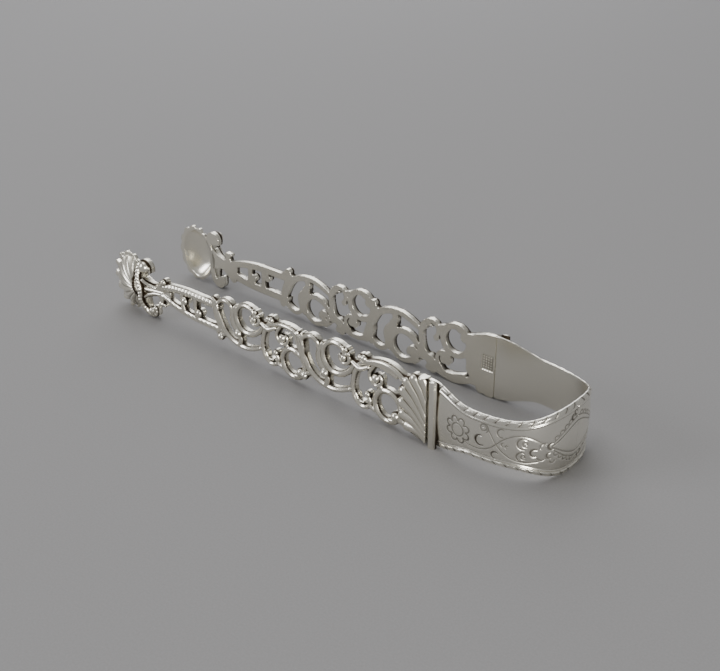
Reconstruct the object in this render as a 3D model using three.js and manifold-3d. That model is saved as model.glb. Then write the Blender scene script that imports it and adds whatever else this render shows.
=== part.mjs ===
// Silver sugar tongs: a sprung bow with two cast openwork arms that end in fluted shell bowls.
// The tongs lie on their side: X runs from the shells to the bow, Y across the gap, Z up.
import * as THREE from 'three';
import Module from 'manifold-3d';
import { mergeVertices } from 'three/addons/utils/BufferGeometryUtils.js';

const wasm = await Module();
wasm.setup();

// ---- driving dimensions, mm ----
const ARM_LENGTH = 87.2;          // neck of the shell to the shoulder band
const PLATE = 1.15;               // thickness of the casting at the edge of a stroke
const RELIEF = 0.55;              // how far the crest of a stroke stands above its edges
const BOW_THICKNESS = 1.0;
const BORDER_HEIGHT = 0.3;        // raised feather edge of the bow
const BORDER_WIDTH = 1.2;
const SHELL_DEPTH = 3.2;
const SHELL_WALL = 0.95;
const GAP = 0.3;                  // clearance left between two soldered pieces
const BAR_LEAN = 0.12;            // run of a crossbar along X per step of height

// The pattern is drawn in hundredths of the arm's length: x from the neck (0) to the shoulder band (100).
const STEP = ARM_LENGTH / 100;
const ARM_INNER_Y = 12.35;        // inner face of an arm at the neck, in steps from the centre plane
const ARM_SPLAY = 0.0072;         // outward run of an arm per step along it
const BOW_START = 97.65;
const BAND_X = 99.4;
const BAND_REACH = 9.2;           // half the length of a shoulder band; its ends stand on the table

const silver = (color, roughness) => new THREE.MeshStandardMaterial({ color, roughness, metalness: 1 });

// ---- solids ----

// Joins a list of equal sections into one closed solid; the first and last are capped.
function loft(sections, flatSection) {
  const count = sections[0].length;
  const positions = sections.flat().flatMap((p) => [p.x, p.y, p.z]);
  const index = [];
  for (let i = 0; i < sections.length - 1; i += 1) {
    for (let j = 0; j < count; j += 1) {
      const a = i * count + j;
      const b = i * count + ((j + 1) % count);
      index.push(a, b, b + count, a, b + count, a + count);
    }
  }
  const last = (sections.length - 1) * count;
  for (const [a, b, c] of THREE.ShapeUtils.triangulateShape(flatSection, [])) {
    index.push(a, c, b);
    index.push(last + a, last + b, last + c);
  }
  return outward(positions, index);
}

// Builds a geometry whose faces point out, whichever way its sections were wound.
function outward(positions, index) {
  const at = (i) => new THREE.Vector3(...positions.slice(3 * i, 3 * i + 3));
  let volume = 0;
  for (let i = 0; i < index.length; i += 3) {
    volume += at(index[i]).dot(at(index[i + 1]).cross(at(index[i + 2])));
  }
  const faces = volume < 0 ? index.slice().reverse() : index;
  const geometry = new THREE.BufferGeometry();
  geometry.setAttribute('position', new THREE.Float32BufferAttribute(positions, 3));
  geometry.setIndex(faces);
  return geometry;
}

function toSolid(geometry) {
  const bare = geometry.clone();
  bare.deleteAttribute('normal');
  bare.deleteAttribute('uv');
  const merged = mergeVertices(bare, 1e-5);
  const vertProperties = new Float32Array(merged.attributes.position.array);
  const triVerts = new Uint32Array(merged.index.array);
  return new wasm.Manifold(new wasm.Mesh({ numProp: 3, vertProperties, triVerts }));
}

function toGeometry(solid) {
  const mesh = solid.getMesh();
  const geometry = new THREE.BufferGeometry();
  geometry.setAttribute('position', new THREE.BufferAttribute(mesh.vertProperties, 3));
  geometry.setIndex(new THREE.BufferAttribute(mesh.triVerts, 1));
  return geometry;
}

const join = (geometries) => geometries.map(toSolid).reduce((whole, piece) => whole.add(piece));

// A pattern point in steps, at a height in mm above the arm's flat back.
// The arm's outer face looks along -Y.
const onArm = (x, z, height) => new THREE.Vector3(x * STEP, -height, z * STEP);

// ---- strokes of the scrollwork ----

const mix = (values, t) => {
  const place = t * (values.length - 1);
  const i = Math.min(Math.floor(place), values.length - 2);
  return values[i] + (values[i + 1] - values[i]) * (place - i);
};

// Points round a centre, the radius running evenly from r0 to r1 between two angles in degrees.
function turn(cx, cz, r0, r1, from, to, count = 7) {
  return Array.from({ length: count }, (_, i) => {
    const t = i / (count - 1);
    const angle = THREE.MathUtils.degToRad(from + (to - from) * t);
    const r = r0 + (r1 - r0) * t;
    return [cx + r * Math.cos(angle), cz + r * Math.sin(angle)];
  });
}

// A modelled stroke: flat back, upright edges and a low crest along the middle.
function stroke({ path, width, rise = [1, 1], pieces = 5 }) {
  const curve = new THREE.CatmullRomCurve3(path.map(([x, z]) => new THREE.Vector3(x, z, 0)), false, 'centripetal');
  const sections = [];
  for (let i = 0; i <= pieces; i += 1) {
    const t = i / pieces;
    const p = curve.getPointAt(t);
    const along = curve.getTangentAt(t);
    const half = mix(width, t) / 2;
    const lift = mix(rise, t);
    const side = (k, height) => onArm(p.x - along.y * half * k, p.y + along.x * half * k, height);
    sections.push([
      side(-1, 0), side(1, 0), side(1, PLATE * lift), side(0, (PLATE + RELIEF) * lift), side(-1, PLATE * lift),
    ]);
  }
  const flat = [[-1, 0], [1, 0], [1, 1], [0, 2], [-1, 1]].map(([x, y]) => new THREE.Vector2(x, y));
  return loft(sections, flat);
}

// A round boss with a domed top.
function ball([x, z], r) {
  const radius = r * STEP;
  const profile = [[0, 0], [radius, 0], [radius, PLATE], [radius * 0.6, PLATE + radius * 0.75], [0, PLATE + radius * 0.95]];
  const geometry = new THREE.LatheGeometry(profile.map(([a, b]) => new THREE.Vector2(a, b)), 7);
  geometry.rotateX(Math.PI);
  geometry.translate(x * STEP, 0, z * STEP);
  return geometry;
}

// Two scrolls that make one repeat of the pattern. The repeat nearer the bow is a little longer and taller.
function scrollRepeat(startX, stretch, grow) {
  const put = ([x, z]) => [startX + (x - 22) * stretch, z * grow];
  const line = (path, width, more = {}) => stroke({ path: path.map(put), width: width.map((w) => w * grow), ...more });
  const boss = (centre, r) => ball(put(centre), r * grow);
  return [
    // first scroll: long stem, arch over it, and the open volute
    line([[22.3, 5.6], [23, 3], [24.3, 0], [26.2, -2.8], [28.6, -4.4], [31, -5.1], [34, -5.3], [37, -4.5], [39.8, -3.2]],
      [2.2, 2.2, 1.8, 1.4, 1.3], { pieces: 6 }),
    line([[23.6, 4.6], [25.2, 6.2], [27.2, 6.8], [29, 6.1], [29.5, 4.6]], [1.2, 1.4, 1.1]),
    line([[30.6, 5.6], [29.4, 3], [29.6, 0.8], [31.6, -1]], [1.5, 2.6, 2.4], { pieces: 5 }),
    line([[38.6, 6.7], ...turn(35.1, 3.7, 4.1, 4.2, 75, 270), [37.6, 0.2], [39.8, 2], [41.6, 4.8]],
      [1.6, 1.3, 1.6, 1.6, 1.4], { pieces: 11 }),
    line(turn(37.9, 4.9, 2.0, 1.3, 70, -200), [1.5, 0.9], { pieces: 6 }),
    boss([37.9, 4.9], 0.95),
    boss([38.9, 7.3], 1.1),
    line([[31.7, -1.6], [32.3, -3.2], [31.8, -5]], [2, 1.6], { pieces: 3 }),
    boss([31.6, -1.6], 1.25),
    boss([24.5, -5], 1.15),
    line([[24.6, -4.6], [26.4, -3.6]], [1.4, 1.2], { pieces: 1 }),
    // second scroll: upright C, hooked volute and the closed ring
    line([[43.8, 4.6], [41.9, 3], [41, 0.5], [40.8, -2.5], [41.6, -5], [43.6, -6.3], [45.6, -5.8], [46.3, -4.3],
      [45.8, -2.3]], [1.5, 1.4, 1.3, 1], { pieces: 6 }),
    boss([45.7, -2.2], 0.85),
    line([[41, 4.7], [43.4, 4.1], [45.8, 5.2]], [1, 1.6, 1], { pieces: 3, rise: [1.1, 1.25, 1.1] }),
    boss([44.1, 7.1], 1.3),
    line([[43.6, 4.6], [44.1, 6.6]], [1.7, 1.7], { pieces: 1 }),
    line([[42.4, 4.7], [45, 5.9], [48, 6.8], [51, 6.9], [54.6, 5.9]], [1.2, 1.4, 1.4], { pieces: 5 }),
    line([[48.2, 6.7], ...turn(48.4, 3.1, 2.4, 1.5, 140, 400, 6)], [1.3, 1.2, 1], { pieces: 7 }),
    boss([48.3, 3.1], 1.25),
    line(turn(51.8, -3.3, 4, 4, 80, 270), [1.5, 1.5], { pieces: 6 }),
    line(turn(51.8, -3.3, 4, 4, 260, 450), [1.5, 1.5], { pieces: 6 }),
    boss([54.5, -4.9], 1.25),
    line([[46.4, -5.2], [47.9, -5.8]], [1.5, 1.5], { pieces: 1 }),
    line([[49.4, 1.6], [50.2, 0.4]], [1.4, 1.4], { pieces: 1 }),
  ];
}

// Three small leaves between the two repeats, and the band that runs on from them.
function leaves() {
  return [
    ...[53.6, 55.1, 56.6].map((x) => stroke({ path: [[57, -1.2], [56 + (x - 55.1) * 0.5, 3], [x, 6.9]],
      width: [1, 1.6, 0.9], pieces: 3 })),
    stroke({ path: [[53.6, 0.3], [56, -0.2], [58.6, -2.2]], width: [1.4, 1.8, 1.4], pieces: 3 }),
  ];
}

// The tapered part between the neck and the first scroll: two bands joined by two webs with round tips.
function taper() {
  return [
    stroke({ path: [[-1.5, 1.6], [1, 2.4], [4, 3.1], [10, 3.8], [16, 3.9], [23, 4]], width: [2.6, 2.2, 2.3, 2.2],
      pieces: 6 }),
    stroke({ path: [[-1.5, -0.6], [1.5, -0.8], [5, -1.8], [9, -2.6], [13, -3], [25.5, -3.1]],
      width: [1.8, 2, 2.1], pieces: 6 }),
    stroke({ path: [[9, 3.2], [9, 0], [9.4, -2.6]], width: [2, 1.2, 2], pieces: 3 }),
    ball([10.3, 1.2], 1.25),
    stroke({ path: [[14.7, 3.4], [14.6, 0], [15.4, -2.8]], width: [1.8, 1.2, 2.2], pieces: 3 }),
    ball([16.3, -0.6], 1.2),
    stroke({ path: [[22.9, 4.2], [23.3, 1], [25, -2.8]], width: [1.6, 1.6], pieces: 3 }),
  ];
}

// The neck: a fluted tongue that meets the shell, a small plate, and pellets above and below it.
function neck() {
  return [
    stroke({ path: [[-5.8, 0], [-4.2, 0.2], [-1.5, 0.4], [1.8, 0.5]], width: [5, 3, 4.6, 3.8],
      rise: [1.9, 1.4, 1.1, 1], pieces: 6 }),
    stroke({ path: [[-0.8, 2.2], [0.4, 3.6], [2.2, 4.6]], width: [2.2, 1.8], pieces: 3, rise: [1.1, 1.1] }),
    stroke({ path: [[-0.2, -0.6], [-0.5, -2.8]], width: [2.4, 1.7], pieces: 1 }),
    ball([-0.6, -3.2], 1.05),
  ];
}

// The half shell that spreads the arm to the width of the shoulder band.
function fan() {
  const edge = new THREE.Shape();
  edge.moveTo(97.3, -8.9);
  edge.lineTo(97.3, 8.5);
  edge.quadraticCurveTo(94.6, 8, 92.4, 6.4);
  edge.quadraticCurveTo(90.4, 7, 90.2, 4.8);
  edge.quadraticCurveTo(88.9, 3.4, 90.1, 1.6);
  edge.quadraticCurveTo(88.6, 0.2, 89.9, -1.6);
  edge.quadraticCurveTo(88.4, -3.2, 89.9, -4.8);
  edge.quadraticCurveTo(89.4, -6.6, 91.6, -7);
  edge.quadraticCurveTo(94, -8.6, 97.3, -8.9);
  const plate = new THREE.ExtrudeGeometry(edge, { depth: 1, bevelEnabled: false, curveSegments: 3 });
  plate.scale(STEP, STEP, PLATE);
  plate.rotateX(Math.PI / 2);
  const tips = [[96.3, 7.9], [94.2, 7.2], [91.6, 5.6], [90.3, 3.2], [90, 0], [90, -3.2], [91, -6]];
  const feet = [4.6, 2.2, 0, -2, -3.8, -5.6, -7.2];
  const ribs = tips.map(([x, z], i) => stroke({
    path: [[x, z], [(x + 97) / 2, z * 0.62 + feet[i] * 0.38], [97.2, feet[i]]],
    width: [1.9, 1.5, 0.9], rise: [1.15, 1.1, 1.05], pieces: 3,
  }));
  return [plate, ...ribs];
}

function armCasting() {
  const top = stroke({ path: [[77, 5.9], [80, 7.4], [84.5, 8.2], [88.5, 7.3], [91.4, 5.8]],
    width: [1.3, 1.7, 1.9, 1.6], pieces: 5 });
  const foot = stroke({ path: [[88.6, -5.6], [90.5, -6.2]], width: [2.2, 1.8], pieces: 1 });
  return join([
    ...neck(),
    ...taper(),
    ...scrollRepeat(22.3, 1.03, 1),
    ...leaves(),
    ...scrollRepeat(54.6, 1.03, 1.05),
    top,
    foot,
    ...fan(),
  ]);
}

// ---- shell bowl and the scroll across its root ----

const SHELL = { x: -15, length: 7.2, width: 8.9, hubX: -10.4, fluted: 121, flute: 27 };

// A point of the shell on a ray from its hub, at a share of the way to the rim: pattern place, height of the
// smooth inside in mm, and the wave of the flutes.
function shellPoint(angle, share, grow = 0) {
  const length = SHELL.length + grow;
  const width = SHELL.width + grow;
  const dx = Math.cos(angle) / length;
  const dz = Math.sin(angle) / width;
  const from = (SHELL.hubX - SHELL.x) / length;
  const b = from * dx / (dx * dx + dz * dz);
  const reach = -b + Math.sqrt(b * b - (from * from - 1) / (dx * dx + dz * dz));
  const rimX = SHELL.hubX + reach * Math.cos(angle);
  const rimZ = reach * Math.sin(angle);
  const round = THREE.MathUtils.radToDeg(Math.atan2(rimZ / width, -(rimX - SHELL.x) / length));
  const rib = Math.abs(Math.cos(Math.PI * round / SHELL.flute)) ** 1.3;
  const wave = Math.abs(round) < SHELL.fluted ? rib - 0.55 : 0;
  const r = reach * share * (1 + 0.05 * wave * share * share);
  const inside = SHELL_DEPTH * Math.max(0, 1 - share ** 1.6) ** 0.8;
  return { x: SHELL.hubX + r * Math.cos(angle), z: r * Math.sin(angle), inside, wave };
}

// A fluted bowl: inner and outer skins on rays from the hub, joined round a scalloped rim.
function shellBowl(rays = 72, rings = 4) {
  const positions = [];
  const index = [];
  const ringStart = (skin, ring) => 2 + (skin * rings + ring) * rays;
  const put = (x, z, height) => positions.push(x * STEP, -height, z * STEP);
  put(SHELL.hubX, 0, SHELL_DEPTH);
  put(SHELL.hubX, 0, SHELL_DEPTH + SHELL_WALL);
  for (let skin = 0; skin < 2; skin += 1) {
    for (let ring = 1; ring <= rings; ring += 1) {
      for (let ray = 0; ray < rays; ray += 1) {
        const share = ring / rings;
        const { x, z, inside, wave } = shellPoint((ray / rays) * 2 * Math.PI, share);
        put(x, z, inside + skin * (SHELL_WALL + 0.55 * wave * share));
      }
    }
  }
  for (let skin = 0; skin < 2; skin += 1) {
    const flip = (a, b, c) => (skin ? index.push(a, b, c) : index.push(a, c, b));
    for (let ray = 0; ray < rays; ray += 1) {
      const next = (ray + 1) % rays;
      flip(skin, ringStart(skin, 0) + ray, ringStart(skin, 0) + next);
      for (let ring = 0; ring < rings - 1; ring += 1) {
        const a = ringStart(skin, ring);
        const b = ringStart(skin, ring + 1);
        flip(a + ray, b + ray, b + next);
        flip(a + ray, b + next, a + next);
      }
    }
  }
  const inner = ringStart(0, rings - 1);
  const outer = ringStart(1, rings - 1);
  for (let ray = 0; ray < rays; ray += 1) {
    const next = (ray + 1) % rays;
    index.push(inner + ray, inner + next, outer + next);
    index.push(inner + ray, outer + next, outer + ray);
  }
  return outward(positions, index);
}

// The shell's outside, smooth and a little larger, down to below the rim. It seats the crossbar on the shell.
function shellClearance(rays = 36, rings = 4) {
  const grow = 0.6;
  const positions = [SHELL.hubX * STEP, -(SHELL_DEPTH + SHELL_WALL + 0.6), 0];
  const index = [];
  const put = (angle, share, height) => {
    const { x, z } = shellPoint(angle, share, grow);
    positions.push(x * STEP, -height, z * STEP);
  };
  for (let ring = 1; ring <= rings + 1; ring += 1) {
    for (let ray = 0; ray < rays; ray += 1) {
      const angle = (ray / rays) * 2 * Math.PI;
      const share = Math.min(1, ring / rings);
      put(angle, share, ring > rings ? -1 : shellPoint(angle, share, grow).inside + SHELL_WALL + 0.6);
    }
  }
  positions.push(SHELL.hubX * STEP, 1, 0);
  const last = 1 + (rings + 1) * rays;
  for (let ray = 0; ray < rays; ray += 1) {
    const next = (ray + 1) % rays;
    index.push(0, 1 + ray, 1 + next);
    for (let ring = 0; ring < rings; ring += 1) {
      const a = 1 + ring * rays;
      const b = a + rays;
      index.push(a + ray, b + ray, b + next, a + ray, b + next, a + next);
    }
    index.push(last, last - rays + next, last - rays + ray);
  }
  return outward(positions, index);
}

// C-shaped scroll: over the back of the shell's root, with a tight volute at each end. It leans a little, so that
// its upper end is nearer the tip of the shell; lean is its run in x per step of z.
function crossbar(lean) {
  const half = [[-4.1, 5.6], [-4, 6.8], [-4.8, 7.8], [-6.2, 8.1], [-7.5, 7.4], [-8.2, 5.8], [-8.2, 3.2], [-7.5, 0]];
  const whole = [...half, ...half.slice(0, -1).reverse().map(([x, z]) => [x, -z])];
  const path = whole.map(([x, z]) => [x + lean * z, z]);
  const scroll = stroke({ path, width: [1, 1.7, 1.8, 1.9, 2.1, 1.9, 1.8, 1.7, 1],
    rise: [1.2, 1.4, 1.7, 2.2, 2.4, 2.2, 1.7, 1.4, 1.2], pieces: 28 });
  const knobs = [1, -1].map((k) => ball([-5.3 + lean * 6.5 * k, 6.5 * k], 1.7));
  return join([scroll, ...knobs]).subtract(toSolid(shellClearance()));
}

// ---- sprung bow ----

// Plan of the bow: slightly swelling flanks that run into a rounded end.
const BOW = { seamY: 13.9, swellX: 108.8, swellY: 15.3, endX: 129.2, n: 2.4, m: 2.64 };
const planPoints = [];
for (let i = 0; i <= 8; i += 1) {
  const t = i / 8;
  const y = BOW.seamY + (BOW.swellY - BOW.seamY) * t * t * (3 - 2 * t);
  planPoints.push([BOW_START + (BOW.swellX - BOW_START) * t, y]);
}
for (let i = 1; i <= 16; i += 1) {
  const angle = (i / 16) * (Math.PI / 2);
  const x = BOW.swellX + (BOW.endX - BOW.swellX) * Math.sin(angle) ** (2 / BOW.n);
  planPoints.push([x, BOW.swellY * Math.cos(angle) ** (2 / BOW.m)]);
}
const wholePlan = [...planPoints, ...planPoints.slice(0, -1).reverse().map(([x, y]) => [x, -y])];
const bowPlan = new THREE.CatmullRomCurve3(wholePlan.map(([x, y]) => new THREE.Vector3(x * STEP, y * STEP, 0)));
bowPlan.arcLengthDivisions = 800;

// Half the strip's width, in steps, at a share s of the way from the crown (0) to the seam (1).
function bowHalfWidth(s) {
  const waist = 6.25;
  const crown = 9.2;
  const seam = 9;
  return waist + (crown - waist) * Math.exp(-((s / 0.29) ** 3))
    + (seam - waist) * THREE.MathUtils.smoothstep(s, 0.66, 0.98);
}

// A stretch of the bow between two shares of its length, both counted from the far seam (0) to the near one (1).
function bowStretch(from, to, pieces) {
  const sections = [];
  for (let i = 0; i <= pieces; i += 1) {
    const u = from + (to - from) * (i / pieces);
    const p = bowPlan.getPointAt(u);
    const along = bowPlan.getTangentAt(u);
    const out = new THREE.Vector3(-along.y, along.x, 0);
    const half = bowHalfWidth(Math.abs(u - 0.5) * 2) * STEP;
    const raised = p.x > 100.8 * STEP ? BORDER_HEIGHT : 0;
    const skin = BOW_THICKNESS / 2;
    const side = (z, thick) => new THREE.Vector3(p.x + out.x * thick, p.y + out.y * thick, z);
    sections.push([
      side(-half, -skin), side(half, -skin), side(half, skin + raised * 0.5),
      side(half - BORDER_WIDTH / 2, skin + raised), side(half - BORDER_WIDTH, skin),
      side(BORDER_WIDTH - half, skin), side(BORDER_WIDTH / 2 - half, skin + raised),
      side(-half, skin + raised * 0.5),
    ]);
  }
  const flat = [[-9, 0], [9, 0], [9, 2], [8, 3], [7, 2], [-7, 2], [-8, 3], [-9, 2]];
  return loft(sections, flat.map(([x, y]) => new THREE.Vector2(x, y)));
}

const BEND = 0.36;                 // share of the bow's length where a flank begins, from the far seam
const bowLength = bowPlan.getLength();

// Flat-backed, gently rounded band over the seam between the bow and the casting.
function shoulderBand() {
  const profile = new THREE.Shape();
  const half = 1.15 * STEP;
  profile.moveTo(-half, 0);
  profile.lineTo(half, 0);
  profile.lineTo(half, 0.3);
  profile.absellipse(0, 0.3, half, 0.4, 0, Math.PI, false);
  const geometry = new THREE.ExtrudeGeometry(profile, { depth: 2 * BAND_REACH * STEP, bevelEnabled: false, curveSegments: 8 });
  geometry.rotateZ(Math.PI);
  geometry.translate(BAND_X * STEP, 0, -BAND_REACH * STEP);
  return geometry;
}

// ---- assembly ----

const cast = silver('#b9b4a8', 0.3);
const sheet = silver('#c9c7c1', 0.2);

function addPiece(group, name, geometry, material) {
  geometry.computeVertexNormals();
  const mesh = new THREE.Mesh(geometry, material.clone());
  mesh.name = name;
  group.add(mesh);
  return mesh;
}

const tongs = new THREE.Group();
const armGeometry = toGeometry(armCasting());

// The far side is the near side turned half a turn about X, as two castings from one pattern are.
for (const side of ['near', 'far']) {
  const half = new THREE.Group();
  half.rotation.x = side === 'near' ? 0 : Math.PI;
  tongs.add(half);
  const arm = new THREE.Group();
  arm.position.y = -ARM_INNER_Y * STEP;
  arm.rotation.z = -Math.atan(ARM_SPLAY);
  half.add(arm);
  addPiece(arm, `${side}_scroll_arm`, armGeometry, cast);
  addPiece(arm, `${side}_shell_bowl`, shellBowl(), cast);
  addPiece(arm, `${side}_scroll_crossbar`, toGeometry(crossbar(side === 'near' ? -BAR_LEAN : BAR_LEAN)), cast);
  addPiece(half, `${side}_bow_flank`, bowStretch(1 - BEND + GAP / 2 / bowLength, 1, 14), sheet);
  const band = addPiece(half, `${side}_shoulder_band`, shoulderBand(), sheet);
  band.position.set(0, -(BOW.seamY + 0.05) * STEP - BOW_THICKNESS / 2 - GAP, 0);
}

addPiece(tongs, 'bow_crown', bowStretch(BEND + GAP / 2 / bowLength, 1 - BEND - GAP / 2 / bowLength, 16), sheet);

// The origin is the middle of the foot print, on the surface that the tongs lie on.
const box = new THREE.Box3().setFromObject(tongs, true);
const middle = box.getCenter(new THREE.Vector3());
tongs.position.set(-middle.x, -middle.y, -box.min.z);

export default tongs;
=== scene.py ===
# %% [markdown]
# # Silver sugar tongs
# Tongs of about 1770: a bow hammered from one strip of silver, two cast arms of pierced scrollwork,
# and a fluted shell at the end of each arm. They lie on their side on a table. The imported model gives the
# places and the joints, and this notebook makes the finely modelled silver that is laid over it.

import bmesh
import bpy
import numpy as np
from mathutils import Matrix, Vector


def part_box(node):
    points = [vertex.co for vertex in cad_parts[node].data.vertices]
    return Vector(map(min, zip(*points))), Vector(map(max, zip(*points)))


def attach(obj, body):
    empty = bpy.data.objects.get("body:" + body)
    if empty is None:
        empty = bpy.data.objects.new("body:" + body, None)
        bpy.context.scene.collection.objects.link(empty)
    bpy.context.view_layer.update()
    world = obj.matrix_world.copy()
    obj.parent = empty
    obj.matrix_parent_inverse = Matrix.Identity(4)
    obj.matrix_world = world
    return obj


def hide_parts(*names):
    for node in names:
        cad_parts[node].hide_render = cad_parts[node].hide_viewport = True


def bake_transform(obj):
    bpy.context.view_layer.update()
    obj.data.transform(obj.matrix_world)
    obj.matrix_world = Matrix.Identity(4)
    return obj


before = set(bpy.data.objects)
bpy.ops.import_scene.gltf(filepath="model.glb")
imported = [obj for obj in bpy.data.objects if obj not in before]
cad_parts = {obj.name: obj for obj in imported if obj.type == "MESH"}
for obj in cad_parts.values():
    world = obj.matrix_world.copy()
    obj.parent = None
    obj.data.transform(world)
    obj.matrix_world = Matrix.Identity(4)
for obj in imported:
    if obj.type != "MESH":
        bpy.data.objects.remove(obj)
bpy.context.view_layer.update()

# %% [markdown]
# ## The grid that the tongs are drawn on
# The arms are one pattern, drawn in hundredths of the arm's length: x runs from the neck of the shell (0)
# to the shoulder band (100), and z across the strip. One such step is 0.872 mm. The shoulder band of the
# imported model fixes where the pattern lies.

# %% Steps and places
STEP = 0.000872
MM = 0.001
band_low, band_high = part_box("near_shoulder_band")
NECK_X = (band_low.x + band_high.x) / 2 - 99.4 * STEP
MID_Z = (band_low.z + band_high.z) / 2
ARM_INNER_Y = 12.35 * STEP
ARM_SPLAY = 0.0072
print("neck at x =", round(NECK_X / MM, 2), "mm, middle of the strip at z =", round(MID_Z / MM, 2), "mm")


def on_near_arm(x, z, height):
    """Points of the near casting: pattern x and z in steps, height above its flat back in metres."""
    x = np.asarray(x, float) * STEP
    y = -np.asarray(height, float)
    turn = -np.arctan(ARM_SPLAY)
    along = x * np.cos(turn) - y * np.sin(turn)
    across = x * np.sin(turn) + y * np.cos(turn)
    return np.stack([along + NECK_X, across - ARM_INNER_Y, np.asarray(z, float) * STEP + MID_Z], -1)


def to_far_side(points):
    """The far side is the near side turned half a turn about the middle line."""
    return points * [1, -1, -1] + [0, 0, 2 * MID_Z]


# %% [markdown]
# ## Camera, table and light
# The camera stands in front of the near arm, on the bow's side, and looks down at the tongs. The table is a
# pale grey cloth. A wide soft light overhead, one behind, one at the left and a small low one beside the bow
# give the silver calm grey reflections and a few bright edges.

# %% Camera
def look(azimuth, elevation, roll):
    """Right, up and back directions of a camera; azimuth 0 looks along +Y."""
    a, e, r = np.radians([azimuth, elevation, roll])
    back = Vector((np.sin(a) * np.cos(e), -np.cos(a) * np.cos(e), np.sin(e)))
    right = (-back).cross(Vector((0, 0, 1))).normalized()
    up = back.cross(right)
    return right * np.cos(r) + up * np.sin(r), up * np.cos(r) - right * np.sin(r), back


right, up, back = look(41.22, 28.09, -0.34)
target = Vector((NECK_X + 50 * STEP, 15.7 * STEP, MID_Z - 8.2 * STEP))
CAMERA_DISTANCE = 312.04 * STEP
camera = bpy.data.objects.new("camera", bpy.data.cameras.new("camera"))
bpy.context.collection.objects.link(camera)
camera.data.lens = 54.86
camera.data.sensor_width = 36
camera.data.clip_start = 0.01
turned = Matrix((right, up, back)).transposed().to_4x4()
camera.matrix_world = Matrix.Translation(target + back * CAMERA_DISTANCE) @ turned
bpy.context.scene.camera = camera
print("camera at", [round(v, 3) for v in camera.matrix_world.translation])


# %% [markdown]
# ## Helpers for materials
# Colours are written as sRGB hex values. One function turns them to linear, and one adds a node with its
# settings and its links.

# %% Colour and node helpers
def colour(hex_value):
    """An sRGB hex value as linear RGBA."""
    srgb = np.array([int(hex_value[i:i + 2], 16) for i in (1, 3, 5)]) / 255
    linear = np.where(srgb <= 0.04045, srgb / 12.92, ((srgb + 0.055) / 1.055) ** 2.4)
    return (*linear.tolist(), 1.0)


def add(material, kind, settings=None, **links):
    """Add a node; settings are its properties, links are values or outputs for its inputs."""
    node = material.node_tree.nodes.new(kind)
    for name, value in (settings or {}).items():
        setattr(node, name, value)
    for name, value in links.items():
        key = int(name[1:]) if name[0] == "_" and name[1:].isdigit() else name.replace("_", " ")
        socket = node.inputs[key]
        if isinstance(value, bpy.types.NodeSocket):
            material.node_tree.links.new(value, socket)
        else:
            socket.default_value = value
    return node


def new_material(name):
    """An empty node material and its output node."""
    material = bpy.data.materials.new(name)
    material.use_nodes = True
    material.node_tree.nodes.clear()
    return material, add(material, "ShaderNodeOutputMaterial")


# %% Table and lights
def table_cloth():
    """Matt grey cloth: a fine even weave that only dims the grey a little."""
    material, output = new_material("pale_grey_cloth")
    place = add(material, "ShaderNodeTexCoord").outputs["Object"]
    weave = add(material, "ShaderNodeTexNoise", Vector=place, Scale=2500.0, Detail=2.0)
    tint = add(material, "ShaderNodeMix", {"data_type": "RGBA"}, _0=weave.outputs["Fac"],
               _6=colour("#858484"), _7=colour("#919090"))
    skin = add(material, "ShaderNodeBsdfPrincipled", Base_Color=tint.outputs[2], Roughness=0.95)
    skin.inputs["Specular IOR Level"].default_value = 0.1
    material.node_tree.links.new(skin.outputs[0], output.inputs["Surface"])
    return material


bpy.ops.mesh.primitive_plane_add(size=6, location=(0, 0, 0))
floor = bpy.context.object
floor.name = "table"
floor.data.materials.append(table_cloth())


def soft_light(name, place, size, watts, tint):
    """A square area light that faces the middle of the tongs."""
    lamp = bpy.data.lights.new(name, "AREA")
    lamp.size = size
    lamp.energy = watts
    lamp.color = colour(tint)[:3]
    light = bpy.data.objects.new(name, lamp)
    bpy.context.collection.objects.link(light)
    light.location = place
    light.rotation_euler = (Vector((0, 0, 0)) - Vector(place)).to_track_quat("-Z", "Y").to_euler()


soft_light("overhead", (-0.3, 0.1, 0.9), 0.8, 6.0, "#ffffff")
soft_light("window_behind", (-0.5, 0.6, 0.42), 0.7, 3.6, "#f8faff")
soft_light("left_side", (-0.65, -0.72, 0.42), 0.45, 4.2, "#fafaff")
soft_light("bow_side", (0.6, -0.5, 0.14), 0.25, 4.2, "#fffdf8")

world = bpy.data.worlds.new("room")
bpy.context.scene.world = world
world.use_nodes = True
world.node_tree.nodes["Background"].inputs["Color"].default_value = colour("#dadada")
world.node_tree.nodes["Background"].inputs["Strength"].default_value = 0.45
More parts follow.
